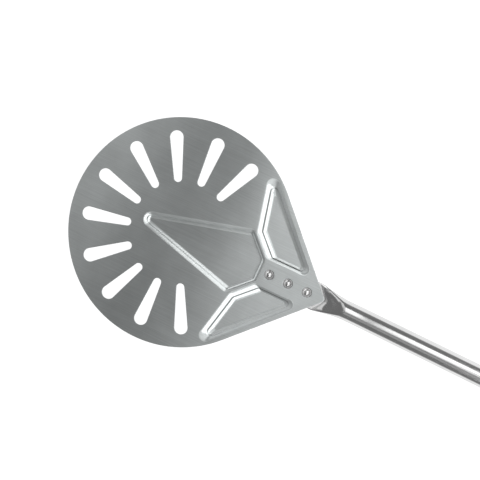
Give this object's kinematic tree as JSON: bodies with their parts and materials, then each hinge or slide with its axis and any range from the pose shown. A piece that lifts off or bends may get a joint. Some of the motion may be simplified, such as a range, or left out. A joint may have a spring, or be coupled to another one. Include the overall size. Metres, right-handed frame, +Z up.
{
  "type": "perforated pizza turning peel",
  "caption": "Round slotted stainless blade riveted to a flattened tube handle, with a sliding, turning grip and an end grip with a hanging eye, for turning food in an oven.",
  "frame": {"origin": "centre of the blade's disc, on the underside of its pressed panels", "axes": "+X from the disc's centre towards the handle, +Z up through the face that food lies on, +Y to complete a right-handed frame; the tube rises 7.4 degrees from the X axis"},
  "size_m": [0.9928, 0.23, 0.11],
  "materials": {
    "blade_steel": "fine brushed stainless steel, grain along the handle",
    "tube_steel": "polished stainless steel",
    "rivet_steel": "polished stainless steel",
    "grip_polymer": "finely textured moulded polymer",
    "bush_polymer": "smooth low-friction polymer"
  },
  "bodies": {
    "peel": {"blade": "blade_steel", "rivet_front": "rivet_steel", "rivet_middle": "rivet_steel", "rivet_rear": "rivet_steel", "handle_tube": "tube_steel", "end_grip": "grip_polymer", "end_grip_pin": "rivet_steel"},
    "slide_bushes": {"front_slide_bush": "bush_polymer", "rear_slide_bush": "bush_polymer"},
    "sliding_grip": {"grip_sleeve": "grip_polymer"}
  },
  "joints": [
    {"name": "grip_slide", "type": "slide", "parent": "peel", "child": "slide_bushes", "axis": [0.9917, 0, 0.1289], "range_m": [-0.262, 0.086]},
    {"name": "grip_turn", "type": "hinge", "parent": "slide_bushes", "child": "sliding_grip", "pos_m": [0.56293, 0, 0.05019], "axis": [0.9917, 0, 0.1289], "continuous": true}
  ]
}
